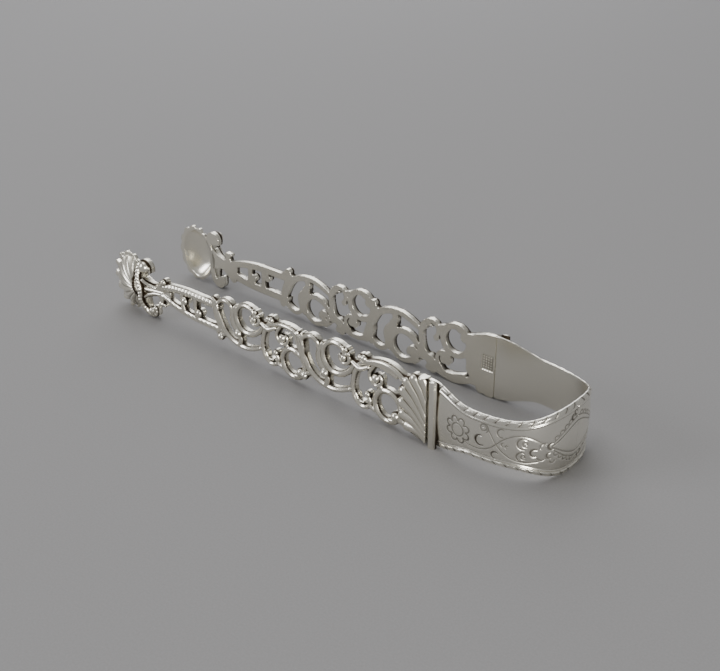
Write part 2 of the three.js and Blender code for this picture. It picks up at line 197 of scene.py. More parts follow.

# %% [markdown]
# ## Silver
# Sterling silver, polished by hand for two centuries. What stands up is bright with fine wear, and what lies
# deep keeps a brown-black tarnish that polishing never reaches. Each mesh carries a number from 0 to 1 that
# says how deep a point lies, with painted shade added beside some parts, and the material turns it to tarnish
# and painted shade. A metal keeps its default IOR.

# %% Silver material
def silver(name, bright, dull, roughness, dents):
    """Polished silver with tarnish in its hollows and painted shade where the mesh marks it; dents is the
    depth of its hand-made unevenness.
    """
    material, output = new_material(name)
    place = add(material, "ShaderNodeTexCoord").outputs["Object"]
    # The mesh number darkens the silver: tarnish in hollows, and painted shade beside some parts.
    deep = add(material, "ShaderNodeAttribute", {"attribute_name": "tarnish_and_shade"}).outputs["Fac"]
    cloud = add(material, "ShaderNodeTexNoise", Vector=place, Scale=220.0, Detail=4.0, Roughness=0.6)
    ragged = add(material, "ShaderNodeMath", {"operation": "MULTIPLY_ADD"}, _0=cloud.outputs["Fac"], _1=0.5,
                 _2=-0.25)
    amount = add(material, "ShaderNodeMath", {"operation": "ADD", "use_clamp": True}, _0=deep,
                 _1=ragged.outputs[0])
    stain_and_shade = add(material, "ShaderNodeMapRange", Value=amount.outputs[0], From_Min=0.12, From_Max=0.8)
    tint = add(material, "ShaderNodeMix", {"data_type": "RGBA"}, _0=stain_and_shade.outputs[0], _6=colour(bright),
               _7=colour(dull))
    grey = add(material, "ShaderNodeMapRange", Value=stain_and_shade.outputs[0], To_Min=roughness, To_Max=0.6)
    swell = add(material, "ShaderNodeTexNoise", Vector=place, Scale=160.0, Detail=2.0)
    rub = add(material, "ShaderNodeTexNoise", Vector=place, Scale=3500.0, Detail=3.0)
    height = add(material, "ShaderNodeMath", {"operation": "MULTIPLY_ADD"}, _0=rub.outputs["Fac"], _1=0.06,
                 _2=swell.outputs["Fac"])
    bump = add(material, "ShaderNodeBump", Strength=0.35, Distance=dents, Height=height.outputs[0])
    skin = add(material, "ShaderNodeBsdfPrincipled", Base_Color=tint.outputs[2], Metallic=1.0,
               Roughness=grey.outputs[0], Normal=bump.outputs[0])
    material.node_tree.links.new(skin.outputs[0], output.inputs["Surface"])
    return material


sheet_silver = silver("polished_sheet_silver", "#f6f3e8", "#3a3126", 0.2, 0.00003)
cast_silver = silver("polished_cast_silver", "#f4f0e2", "#33291d", 0.22, 0.00005)
print("materials:", sheet_silver.name, cast_silver.name)


# %% Turn points and faces into a piece of the tongs
def silver_piece(name, points, faces, tarnish_and_shade, material):
    """A smooth mesh with its numbers for tarnish and painted shade."""
    mesh = bpy.data.meshes.new(name)
    mesh.from_pydata(np.asarray(points).tolist(), [], faces)
    mesh.update()
    work = bmesh.new()
    work.from_mesh(mesh)
    bmesh.ops.recalc_face_normals(work, faces=work.faces)
    work.to_mesh(mesh)
    work.free()
    mesh.shade_smooth()
    layer = mesh.attributes.new("tarnish_and_shade", "FLOAT", "POINT")
    layer.data.foreach_set("value", np.asarray(tarnish_and_shade, np.float32))
    mesh.materials.append(material)
    piece = bpy.data.objects.new(name, mesh)
    bpy.context.collection.objects.link(piece)
    print(name, "has", len(mesh.vertices), "points")
    return piece


# %% [markdown]
# ## Strokes
# A caster's pattern is modelled in wax as strokes: a roll of wax is laid along a curve, pressed down at its
# sides, and drawn to a volute at its end. A stroke here is the same thing: a smooth curve through a few
# points, a width that changes along it, and a height. All strokes are laid on one fine grid, and where two
# meet the higher one shows, so that the creases between them come out as they do in the casting.

# %% Smooth curves through a few points
def smooth_curve(points, count=80):
    """Evenly spaced points on a centripetal Catmull-Rom curve through the given ones."""
    points = np.asarray(points, float)
    if len(points) == 2:
        return points[0] + (points[1] - points[0]) * np.linspace(0, 1, count)[:, None]
    ends = [2 * points[0] - points[1], *points, 2 * points[-1] - points[-2]]
    found = []
    for p0, p1, p2, p3 in zip(ends, ends[1:], ends[2:], ends[3:]):
        gaps = [max(np.linalg.norm(b - a) ** 0.5, 1e-6) for a, b in ((p0, p1), (p1, p2), (p2, p3))]
        t = np.linspace(0, 1, 24, endpoint=False)[:, None] * gaps[1]
        m1 = (p2 - p1 + gaps[1] * ((p1 - p0) / gaps[0] - (p2 - p0) / (gaps[0] + gaps[1]))) / gaps[1]
        m2 = (p2 - p1 + gaps[1] * ((p3 - p2) / gaps[2] - (p3 - p1) / (gaps[1] + gaps[2]))) / gaps[1]
        t = t / gaps[1]
        m1, m2 = m1 * gaps[1], m2 * gaps[1]
        found.append((2 * t**3 - 3 * t**2 + 1) * p1 + (t**3 - 2 * t**2 + t) * m1
                     + (3 * t**2 - 2 * t**3) * p2 + (t**3 - t**2) * m2)
    found = np.concatenate([*found, points[-1:]])
    run = np.concatenate([[0], np.cumsum(np.linalg.norm(np.diff(found, axis=0), axis=1))])
    even = np.linspace(0, run[-1], count)
    return np.stack([np.interp(even, run, found[:, k]) for k in range(found.shape[1])], -1)


def turn(cx, cz, r0, r1, start, end, count=9):
    """Points round a centre, the radius running evenly from r0 to r1; angles in degrees."""
    angle = np.radians(np.linspace(start, end, count))
    r = np.linspace(r0, r1, count)
    return [(cx + a * np.cos(b), cz + a * np.sin(b)) for a, b in zip(r, angle)]


# %% The grid of the casting
GRID = 0.125
FLAT = 1.2                     # height of a stroke's upright edge, in mm
ARM_END = 97.62                # where the casting is cut straight, against the bow
STRIP_HALF = 9.1               # no part of a casting reaches further from the middle line


class Relief:
    """A height map in steps by steps, with the height in mm, and how far inside the outline each point is."""

    def __init__(self, x0, x1, z0, z1):
        self.x, self.z = np.meshgrid(np.arange(x0, x1, GRID), np.arange(z0, z1, GRID), indexing="ij")
        self.edge = np.full(self.x.shape, -9.0)
        self.height = np.zeros(self.x.shape)

    def near(self, points, reach):
        """The part of the grid within reach of the points."""
        i0, j0 = [max(0, int((min(points[:, k]) - reach - (self.x, self.z)[k][0, 0]) / GRID)) for k in (0, 1)]
        i1, j1 = [int((max(points[:, k]) + reach - (self.x, self.z)[k][0, 0]) / GRID) + 2 for k in (0, 1)]
        return slice(i0, i1), slice(j0, j1)

    def lay(self, part, edge, height):
        self.edge[part] = np.maximum(self.edge[part], edge)
        higher = np.maximum(self.height[part], height)
        self.height[part] = np.where(edge > -2 * GRID, higher, self.height[part])

    def stroke(self, path, width, rise=1.0, crest=0.6, lines=0.0, ribs=0, rib_depth=0.12):
        """Lay a stroke. lines cuts a fine line inside each edge, ribs cuts slanting ribs across it."""
        line = smooth_curve(path)
        share = np.linspace(0, 1, len(line))
        half = np.interp(share, np.linspace(0, 1, len(width)), width) / 2
        rise = np.interp(share, np.linspace(0, 1, len(np.atleast_1d(rise))), np.atleast_1d(rise))
        part = self.near(line, max(half) + 0.5)
        x, z = self.x[part], self.z[part]
        best = np.full(x.shape, 99.0)
        along = np.zeros(x.shape)
        side = np.zeros(x.shape)
        for k in range(len(line) - 1):
            step = line[k + 1] - line[k]
            t = np.clip(((x - line[k, 0]) * step[0] + (z - line[k, 1]) * step[1]) / (step @ step), 0, 1)
            dx, dz = x - line[k, 0] - t * step[0], z - line[k, 1] - t * step[1]
            far = np.hypot(dx, dz)
            closer = far < best
            best = np.where(closer, far, best)
            along = np.where(closer, (k + t) / (len(line) - 1), along)
            side = np.where(closer, np.sign(step[0] * dz - step[1] * dx), side)
        wide = np.interp(along, share, half)
        across = np.clip(best / wide, 0, 1)
        top = FLAT + crest * np.sqrt(1 - across**2)
        if lines:
            top -= lines * np.exp(-(((across - 0.62) / 0.12) ** 2))
        if ribs:
            top += rib_depth * np.cos(2 * np.pi * (along * ribs + side * across * 0.35)) * (1 - across**2)
        self.lay(part, wide - best, top * np.interp(along, share, rise))

    def plate(self, xs, tops, bottoms, height):
        """Lay a flat plate between an upper and a lower outline, cut straight at both ends."""
        top, bottom = np.interp(self.x, xs, tops), np.interp(self.x, xs, bottoms)
        edge = np.minimum.reduce([top - self.z, self.z - bottom, self.x - xs[0], xs[-1] - self.x])
        self.lay(slice(None), edge, np.full(edge.shape, height))

    def ball(self, centre, r, rise=1.0):
        """Lay a round boss."""
        centre = np.array([centre])
        part = self.near(centre, r + 0.5)
        far = np.hypot(self.x[part] - centre[0, 0], self.z[part] - centre[0, 1])
        dome = np.sqrt(np.clip(1 - (far / r) ** 2, 0, 1)) * r * STEP / MM
        self.lay(part, r - far, (FLAT * 0.95 + dome * 0.95) * rise)


# %% [markdown]
# ## From height map to solid
# The grid is cut along the outline: points next to the outline move onto it, so that the edge is smooth.
# Walls join the modelled face to the flat back. A point lies deep when the silver round it stands higher,
# and there it keeps tarnish. The sides of the piercings are darkened too, partly as tarnish and partly as
# painted shade, and the feet of the crossbars' walls carry painted shade.

# %% Height map to mesh
def blurred(values, mask, reach):
    """Gaussian blur in grid points, counting only the points in the mask."""
    steps = range(-int(2 * reach), int(2 * reach) + 1)
    total, weight = values * mask, mask.astype(float)
    for axis in (0, 1):
        total = sum(np.roll(total, k, axis) * np.exp(-(k / reach) ** 2) for k in steps)
        weight = sum(np.roll(weight, k, axis) * np.exp(-(k / reach) ** 2) for k in steps)
    return total / np.maximum(weight, 1e-9)


def casting(relief, place, under=None, wall_tarnish_and_shade=0.75, foot_shade=0.0):
    """Points, faces and the tarnish and painted shade of a closed solid. under is the height of its back face
    in mm.
    """
    whole = np.ones(relief.edge.shape, bool)
    edge = blurred(np.clip(relief.edge, -0.6, 0.6), whole, 1.2)
    kept = edge > -0.5 * GRID
    gx, gz = np.gradient(edge, GRID)
    slope = np.maximum(gx**2 + gz**2, 0.4)
    snap = np.where(np.abs(edge) < 0.5 * GRID, edge, 0)
    x, z = relief.x - snap * gx / slope, relief.z - snap * gz / slope
    closed_in = blurred(kept.astype(float), whole, 11)
    top = blurred(relief.height, kept, 0.8)
    back = np.zeros(x.shape) if under is None else under
    deep = np.clip((blurred(top, kept, 5) - top) / 0.28, 0, 1)

    a, b, c, d = kept[:-1, :-1], kept[1:, :-1], kept[1:, 1:], kept[:-1, 1:]
    number = np.arange(kept.size).reshape(kept.shape)
    corners = [number[:-1, :-1], number[1:, :-1], number[1:, 1:], number[:-1, 1:]]
    faces = np.stack([k[a & b & c & d] for k in corners], -1).tolist()
    for out in range(4):
        flags = [a, b, c, d]
        three = [k for k in range(4) if k != out]
        cells = ~flags[out] & flags[three[0]] & flags[three[1]] & flags[three[2]]
        faces += np.stack([corners[k][cells] for k in three], -1).tolist()

    used = np.unique(np.concatenate([np.ravel(f) for f in faces]))
    order = {old: new for new, old in enumerate(used)}
    faces = [[order[k] for k in f] for f in faces]
    x, z, top, back, deep, closed_in = [v.ravel()[used] for v in (x, z, top, back, deep, closed_in)]
    open_sides = {}
    for f in faces:
        for p, q in zip(f, f[1:] + f[:1]):
            open_sides[(p, q)] = True
    rim = [(p, q) for p, q in open_sides if (q, p) not in open_sides]
    on_rim = sorted({p for side in rim for p in side})
    before, after = {q: p for p, q in rim}, dict(rim)
    rim_before, rim_after = [[link[p] for p in on_rim] for link in (before, after)]
    for _ in range(6):
        for line in (x, z):
            line[on_rim] = 0.5 * line[on_rim] + 0.25 * (line[rim_before] + line[rim_after])
    count = len(used)
    levels = [0.6, 0.15]
    ring = [{p: count * 2 + level * len(on_rim) + i for i, p in enumerate(on_rim)} for level in range(2)]
    heights = [back[on_rim] + (top - back)[on_rim] * share for share in levels]
    points = np.concatenate([place(x, z, top * MM), place(x, z, back * MM),
                             *[place(x[on_rim], z[on_rim], h * MM) for h in heights]])
    solid = faces + [[k + count for k in reversed(f)] for f in faces]
    for p, q in rim:
        chain_p, chain_q = (p, ring[0][p], ring[1][p], p + count), (q, ring[0][q], ring[1][q], q + count)
        solid += [[chain_q[k], chain_p[k], chain_p[k + 1], chain_q[k + 1]] for k in range(3)]
    back_deep = 0.05 + 2.2 * back
    # Walls of the piercings are darkened: partly tarnish, partly painted shade.
    side_tarnish_and_shade = wall_tarnish_and_shade * np.clip((closed_in[on_rim] - 0.46) / 0.16, 0, 1)
    # The foot of each wall is darkened too; on the crossbars this is painted shade along their sides.
    foot_tarnish_and_shade = np.maximum(side_tarnish_and_shade * 0.7, foot_shade)
    return points, solid, np.concatenate([deep, back_deep, side_tarnish_and_shade, foot_tarnish_and_shade])


# %% [markdown]
# ## The cast arms
# Each arm is the same casting. From the shell it starts as two ribbed bands joined by webs with round
# tips. Then one pair of scrolls comes twice, the second time a little larger: an open volute that winds
# down from the top, and a closed ring that winds up from below, with balls, hooks and pellets between.
# A half shell at the end spreads it to the width of the bow.

# %% One pair of scrolls
def scroll_pair(relief, start, stretch, grow):
    """Lay one repeat of the scrolls, beginning at start."""
    def put(point):
        return start + (point[0] - 22) * stretch, point[1] * grow

    def line(path, width, **more):
        relief.stroke([put(p) for p in path], [w * grow for w in width], **more)

    def ball(centre, r, rise=1.0):
        relief.ball(put(centre), r * grow, rise)

    # long stem of the open volute, and the arch over it
    line([(22.3, 5.6), (23, 3), (24.3, 0), (26.2, -2.8), (28.6, -4.4), (31, -5.1), (34, -5.3), (37, -4.5),
          (39.8, -3.2)], [2.2, 2.1, 1.8, 1.4, 1.2], lines=0.15)
    line([(23.4, 4.4), (25.1, 6.2), (27.2, 6.9), (29.1, 6.1), (29.4, 4.3)], [1.1, 1.4, 1.0],
         rise=[1, 1.15, 1])
    line([(22.2, 5.9), (23.6, 5.2), (24.2, 3.6)], [1.2, 0.9], rise=1.15)
    line([(30.7, 6.0), (29.6, 3), (29.8, 0.8), (31.6, -1)], [1.3, 2.4, 2.4], lines=0.12)
    # open volute
    line([(38.6, 6.7), *turn(35.1, 3.7, 4.1, 4.2, 75, 270), (37.6, 0.2), (39.8, 2), (41.6, 4.8)],
         [1.6, 1.3, 1.6, 1.6, 1.3], lines=0.12)
    line(turn(37.9, 4.9, 2.0, 1.25, 70, -200), [1.3, 0.8])
    ball((37.9, 4.9), 0.95, 1.1)
    for k, (x, z) in enumerate(((37.7, 7.4), (38.9, 7.4), (39.8, 6.5))):
        line([(38.3, 5.7), (x, z)], [0.7, 1.1], rise=1.15)
    # ball that hangs into the lower piercing, and the pellet outside the stem
    line([(31.7, -1.6), (32.3, -3.2), (31.8, -5)], [1.9, 1.5])
    ball((31.6, -1.6), 1.25, 1.1)
    ball((24.5, -5), 1.15, 1.1)
    ball((23.1, -4.3), 0.6)
    line([(24.6, -4.6), (26.4, -3.6)], [1.4, 1.2])
    # upright C, its ball, and the collar that ties it to the open volute
    line([(43.8, 4.6), (41.9, 3), (41, 0.5), (40.8, -2.5), (41.6, -5), (43.6, -6.3), (45.6, -5.8),
          (46.3, -4.3), (45.8, -2.3)], [1.5, 1.4, 1.3, 1.0], lines=0.14)
    line([(41.9, -3.4), (42.8, -4.9), (44.4, -5.0)], [0.6, 0.5], rise=0.95)
    ball((45.7, -2.2), 0.85, 1.15)
    line([(40.8, 4.9), (43.4, 4.1), (45.9, 5.2)], [0.9, 1.6, 0.9], rise=[1.1, 1.35, 1.1])
    ball((43.5, 7.0), 0.95, 1.15)
    ball((44.8, 7.2), 1.1, 1.2)
    line([(43.6, 4.6), (44.1, 6.6)], [1.7, 1.7])
    # band over the ring, and the hooked volute under it
    line([(42.4, 4.7), (45, 5.9), (48, 6.8), (51, 6.9), (54.6, 5.9)], [1.1, 1.4, 1.4], rise=[1, 1.15, 1.1])
    line([(48.2, 6.7), *turn(48.4, 3.1, 2.4, 1.5, 140, 400, 11)], [1.2, 1.1, 0.9], lines=0.1)
    ball((48.3, 3.1), 1.2, 1.1)
    # closed ring with a ball at its lower right
    line(turn(51.8, -3.3, 4, 4, 80, 450, 25), [1.5, 1.7, 1.5, 1.5], lines=0.12)
    line([(52.6, -6.4), (53.9, -6.3), (54.8, -5.2)], [0.9, 1.3], rise=1.1)
    ball((54.5, -4.9), 1.25, 1.1)
    line([(46.4, -5.4), (47.9, -5.9)], [1.2, 1.3])
    line([(49.4, 1.6), (50.2, 0.4)], [1.3, 1.3])


# %% Leaves, tapered part, neck and fan
def three_leaves(relief):
    """The small leaves between the two pairs of scrolls."""
    for x in (53.6, 55.1, 56.6):
        middle = (56 + (x - 55.1) * 0.5, 3)
        relief.stroke([(57, -1.2), middle, (x, 6.9)], [0.9, 1.6, 0.8], rise=1.1, lines=0.1)
    relief.stroke([(53.6, 0.3), (56, -0.2), (58.6, -2.2)], [1.4, 1.8, 1.4])


def tapered_part(relief):
    """Two bands and two webs; slanting ribs run along both bands, deeper on the upper one."""
    relief.stroke([(-1.5, 1.6), (1, 2.4), (4, 3.1), (10, 3.8), (16, 3.9), (23, 4)], [2.6, 2.2, 2.3, 2.2],
                  ribs=17, lines=0.1)
    relief.stroke([(-1.5, -0.6), (1.5, -0.8), (5, -1.8), (9, -2.6), (13, -3), (25.5, -3.1)], [1.8, 2.0, 2.1],
                  ribs=15, rib_depth=0.05)
    relief.stroke([(9, 3.2), (9, 0), (9.4, -2.6)], [2, 1.2, 2])
    relief.stroke([(14.7, 3.4), (14.6, 0), (15.4, -2.8)], [1.8, 1.2, 2.2])
    relief.stroke([(22.9, 4.2), (23.3, 1), (25, -2.8)], [1.6, 1.6])
    relief.ball((10.3, 1.2), 1.25, 1.1)
    relief.ball((16.3, -0.6), 1.2, 1.1)


def neck(relief):
    """The fluted tongue that runs under the crossbar to the shell, with pellets above and below."""
    relief.stroke([(-6.8, 0), (-4.4, 0.2), (-1.5, 0.4), (1.8, 0.5)], [5.4, 4.2, 3.4, 4.2, 3.4],
                  rise=[1.5, 1.2, 1.0, 0.95, 0.9], crest=0.2)
    for k in (-1, 0, 1):
        relief.stroke([(-7.4, 2.5 * k), (-5.2, 0.1 + 1.5 * k), (-2.6, 0.3 + 0.9 * k), (0.4, 0.5 + 0.8 * k)],
                      [1.7, 1.3, 1.0, 0.8], rise=[1.7, 1.4, 1.15, 1.0], crest=0.5)
    relief.stroke([(-0.9, 2.2), (0.4, 3.6), (1.4, 4.3)], [2.0, 1.6], rise=1.15, lines=0.12)
    relief.ball((1.5, 4.4), 1.0, 1.2)
    relief.stroke([(-0.2, -0.6), (-0.5, -2.8)], [2.2, 1.5])
    relief.ball((-0.7, -3.2), 0.95, 1.1)
    relief.ball((0.6, -3.5), 0.6)
    relief.edge = np.minimum(relief.edge, relief.x + 7.6)


def fan(relief):
    """The half shell: a plate as wide as the bow, and flutes on it that sweep down to the shoulder band."""
    relief.plate([88.9, 90.2, 92, 94.5, ARM_END], [3.4, 5.6, 7.1, 8.4, 9.0],
                 [-5.0, -6.4, -7.8, -8.7, -9.0], FLAT)
    tips = [(96.2, 8.2), (93.6, 7.6), (91.4, 6.0), (90.3, 3.0), (90.0, -0.2), (90.3, -3.4), (91.8, -6.2)]
    feet = [2.6, -0.9, -3.4, -5.1, -6.5, -7.6, -8.4]
    for (x, z), foot in zip(tips, feet):
        middle = ((x + 98) / 2 + 0.3, 0.5 * z + 0.5 * foot + 0.9)
        relief.stroke([(x, z), middle, (98.6, foot - 0.5)], [2.8, 2.5, 1.1], rise=[1.1, 1.05, 1.0],
                      crest=0.95)
    relief.edge = np.minimum.reduce([relief.edge, ARM_END - relief.x, STRIP_HALF - abs(relief.z)])


def whole_arm():
    relief = Relief(-8.5, 99, -10.5, 10.5)
    neck(relief)
    tapered_part(relief)
    scroll_pair(relief, 22.3, 1.03, 1)
    three_leaves(relief)
    scroll_pair(relief, 54.6, 1.03, 1.05)
    relief.stroke([(77, 5.9), (80, 7.3), (84.5, 8.1), (88.5, 7.3), (91.4, 5.9)], [1.3, 1.7, 1.9, 1.6],
                  rise=1.15)
    relief.stroke([(88.4, -5.6), (90.5, -6.2)], [2.2, 1.8])
    fan(relief)
    return relief


arm_relief = whole_arm()
print("share of the arm's outline that is silver:", round(float((arm_relief.edge > 0).mean()), 2))

# %% [markdown]
# ## The struck mark
# Silver carries small punched marks on the inner face of the shoulder. Here it is only a plain sunk oblong
# with a lattice, so it stands for a mark without being one.

# %% A plain punch on the back of the far arm
def punch(relief, cx, cz, wide, tall):
    """Depth in mm of a sunk oblong with a raised lattice."""
    inside = np.minimum(wide / 2 - abs(relief.x - cx), tall / 2 - abs(relief.z - cz))
    sunk = np.clip(inside / 0.25, 0, 1)
    lattice = np.cos((relief.x + relief.z) * 4.2) * np.cos((relief.x - relief.z) * 4.2)
    return sunk * (0.22 - 0.16 * np.clip(lattice, 0, 1) * np.clip(inside / 0.4, 0, 1))


for side in ("near", "far"):
    place = on_near_arm if side == "near" else (lambda x, z, h: to_far_side(on_near_arm(x, z, h)))
    struck = punch(arm_relief, 95.4, -0.6, 3.6, 4.6) if side == "far" else None
    points, faces, tarnish_and_shade = casting(arm_relief, place, struck)
    arm = silver_piece(f"{side}_cast_arm", points, faces, tarnish_and_shade, cast_silver)
    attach(arm, f"{side}_arm")
    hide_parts(f"{side}_scroll_arm")

# %% [markdown]
# ## The shells
# Each bowl is a fluted shell: smooth and shallow inside, with ribs outside that radiate from the root and
# end in a scalloped rim. The ribs are as wide as each other along the rim. A line of painted shade lies in
# the corner beside the crossbar, which leans a little.

# %% Shell bowls
SHELL_X, SHELL_LONG, SHELL_WIDE = -15.0, 7.05, 8.75
ROOT_X, DEEPEST_X = -7.95, -10.4
SHELL_DEPTH, SHELL_WALL, FLUTE = 3.2, 0.8, 27.0
BAR_LEAN = {"near": -0.12, "far": 0.12}      # run of a crossbar in x per step of z


def to_rim(start_x, dx, dz):
    """How far the rim is from a point on the middle line, in a direction."""
    a, b = dx / SHELL_LONG, dz / SHELL_WIDE
    start = (start_x - SHELL_X) / SHELL_LONG
    half = start * a / (a**2 + b**2)
    return -half + np.sqrt(half**2 - (start**2 - 1) / (a**2 + b**2))


def bowl_inside(x, z):
    """Height of the smooth inside above the rim, in mm. A flat rim runs round it."""
    dx, dz = x - DEEPEST_X, z
    far = np.maximum(np.hypot(dx, dz), 1e-6)
    share = far / to_rim(DEEPEST_X, dx / far, dz / far)
    return SHELL_DEPTH * np.clip(1 - (share / 0.88) ** 2, 0, 1) ** 0.8


def shell_skin(share, angle, outer):
    """Points of the inner (0) or outer (1) skin on rays from the root; share runs from root to rim."""
    reach = to_rim(ROOT_X, np.cos(angle), np.sin(angle))
    rim_x, rim_z = ROOT_X + reach * np.cos(angle), reach * np.sin(angle)
    round_rim = np.degrees(np.arctan2(rim_z / SHELL_WIDE, -(rim_x - SHELL_X) / SHELL_LONG))
    fluted = np.clip((126 - abs(round_rim)) / 10, 0, 1)
    rib = np.abs(np.cos(np.pi * round_rim / FLUTE)) ** 1.6
    wave = fluted * (rib - 0.6)
    x, z = ROOT_X + reach * share * np.cos(angle), reach * share * np.sin(angle)
    height = bowl_inside(x, z) * (share < 1) + outer * (SHELL_WALL + 0.65 * wave * share**0.7)
    spread = 1 + 0.075 * wave * share ** (4 if outer else 14)
    valley = 0.55 * fluted * (1 - rib) ** 1.6 * np.clip(share * 3, 0, 1)
    return SHELL_X + (x - SHELL_X) * spread, z * spread, height, np.where(outer > 0, valley, 0.04)


def shell_bowl(side, rays=480, rings=44):
    share = 1 - (1 - np.linspace(0, 1, rings + 1)[1:]) ** 1.3
    angle = np.linspace(0, 2 * np.pi, rays, endpoint=False)
    grid_share, grid_angle = np.meshgrid(share, angle, indexing="ij")
    skins = [shell_skin(grid_share, grid_angle, outer) for outer in (0, 1)]
    x, z, height, tarnish_and_shade = [np.concatenate([s[k].ravel() for s in skins]) for k in range(4)]
    root = bowl_inside(ROOT_X, 0)
    x, z = np.append(x, [ROOT_X, ROOT_X]), np.append(z, [0, 0])
    height, tarnish_and_shade = np.append(height, [root, root + SHELL_WALL]), np.append(tarnish_and_shade, [0, 0.3])
    # Painted shade: a dark line on the outside of the bowl along the crossbar's edge.
    shade_by_the_bar = np.exp(-(((x + 9.8 - BAR_LEAN[side] * z) / 0.5) ** 2))
    outside = height > bowl_inside(x, z) + 0.3
    tarnish_and_shade = np.where(outside, np.maximum(tarnish_and_shade, 0.9 * shade_by_the_bar), tarnish_and_shade)
    points = on_near_arm(x, z, height * MM)
    faces = []
    skin_size = rings * rays
    for skin in (0, 1):
        first = skin * skin_size
        for k in range(rays):
            n = (k + 1) % rays
            faces.append([2 * skin_size + skin, first + k, first + n])
            for ring in range(rings - 1):
                a, b = first + ring * rays, first + (ring + 1) * rays
                faces.append([a + k, b + k, b + n, a + n])
    last = (rings - 1) * rays
    for k in range(rays):
        n = (k + 1) % rays
        faces.append([last + k, last + n, skin_size + last + n, skin_size + last + k])
    points = points if side == "near" else to_far_side(points)
    bowl = silver_piece(f"{side}_fluted_shell", points, faces, tarnish_and_shade, cast_silver)
    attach(bowl, f"{side}_arm")
    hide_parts(f"{side}_shell_bowl")


for side in ("near", "far"):
    shell_bowl(side)

# %% [markdown]
# ## The crossbars
# A C-shaped scroll lies over the root of each shell. Its middle rides over the back of the bowl, with small
# slanting ribs along it. A round knob closes its upper end, and two smaller balls make the hook of its lower
# end.

# %% Scroll crossbars
def crossbar(side):
    relief = Relief(-11, -1.5, -10.5, 10.5)
    half = [(-4.1, 5.6), (-4, 6.8), (-4.8, 7.8), (-6.2, 8.1), (-7.5, 7.4), (-8.2, 5.8), (-8.2, 3.2),
            (-7.5, 0)]
    lean = BAR_LEAN[side]
    path = [(x + lean * z, z) for x, z in half + [(x, -z) for x, z in half[-2::-1]]]
    relief.stroke(path, [1, 1.6, 1.8, 1.9, 2.1, 1.9, 1.8, 1.6, 1],
                  rise=[1.0, 1.0, 1.5, 2.0, 2.1, 2.0, 1.5, 1.0, 1.0], crest=0.7, ribs=24, rib_depth=0.07)
    up = 1 if side == "near" else -1
    relief.ball((-5.8 + lean * 6.8 * up, 6.8 * up), 2.0, 1.15)
    relief.ball((-5.6 - lean * 6.6 * up, -6.6 * up), 1.25, 1.2)
    relief.ball((-4.2 - lean * 5.6 * up, -5.6 * up), 0.9, 1.15)
    # The crossbar's dark walls and feet are painted shade along both its sides.
    points, faces, tarnish_and_shade = casting(relief, on_near_arm, wall_tarnish_and_shade=0.2, foot_shade=0.4)
    points = points if side == "near" else to_far_side(points)
    bar = silver_piece(f"{side}_c_scroll", points, faces, tarnish_and_shade, cast_silver)
    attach(bar, f"{side}_arm")
    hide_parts(f"{side}_scroll_crossbar")


for side in ("near", "far"):
    crossbar(side)

# %% [markdown]
# ## The sprung bow
# The bow is one strip of silver, hammered hard so that it springs. Its plan is two slightly swelling flanks
# that run into a rounded end, and its width draws in to a waist on each flank. It is made as two halves that
# meet at the middle of the crown.

# %% Plan and width of the bow
def bow_plan():
    """Points of the near half's middle line, from the seam with the casting to the crown, in steps."""
    t = np.linspace(0, 1, 60)
    flank = np.stack([97.65 + (108.8 - 97.65) * t, 13.9 + 1.4 * t * t * (3 - 2 * t)], -1)
    angle = np.linspace(0, np.pi / 2, 400)[1:]
    end = np.stack([108.8 + 20.4 * np.sin(angle) ** (2 / 2.4), 15.3 * np.cos(angle) ** (2 / 2.64)], -1)
    return np.concatenate([flank, end]) * [1, -1]


plan = bow_plan()
plan_run = np.concatenate([[0], np.cumsum(np.linalg.norm(np.diff(plan, axis=0), axis=1))])
HALF_BOW = plan_run[-1]
BOW_SKIN = 0.5                 # half the strip's thickness, in mm
WAIST, CROWN, SHOULDER = 6.25, 9.2, 9.0      # half the strip's width, in steps
print("half of the bow is", round(HALF_BOW * STEP / MM, 1), "mm along the strip")


def smoothstep(value, low, high):
    t = np.clip((value - low) / (high - low), 0, 1)
    return t * t * (3 - 2 * t)


def bow_half_width(run):
    """Half the strip's width in steps, at a distance from the seam."""
    s = 1 - run / HALF_BOW
    to_crown = (CROWN - WAIST) * np.exp(-((s / 0.29) ** 3))
    return WAIST + to_crown + (SHOULDER - WAIST) * smoothstep(s, 0.66, 0.98)


def on_bow(run, z, out):
    """Points of the near half: run from the seam and z in steps, out in mm from the middle of the strip."""
    x, y = [np.interp(run, plan_run, plan[:, k]) for k in (0, 1)]
    dx, dy = [np.interp(run + 0.3, plan_run, plan[:, k]) - np.interp(run - 0.3, plan_run, plan[:, k])
              for k in (0, 1)]
    dx = np.where(run > HALF_BOW - 1e-6, 0, dx)
    size = np.hypot(dx, dy)
    out = out * MM / STEP
    x, y = x + dy / size * out, y - dx / size * out
    return np.stack([x * STEP + NECK_X, y * STEP, z * STEP + MID_Z], -1)


# %% [markdown]
# ## Engraving
# The outside is bright-cut: the graver throws out crescents, fine lines and rings of petals, and tarnish
# stays in the cuts. Each cut is a curve with a width and a depth, pressed into the surface of the strip.

# %% The engraver's cuts, on the flat strip: distance from the seam, height on the strip, both in steps
def crescent(x, z, r, start, end, thick):
    """A comma-shaped cut, thick in its middle."""
    return turn(x, z, r, r, start, end), [0.1, 0.75 * thick, 0.5 * thick, 0.12]


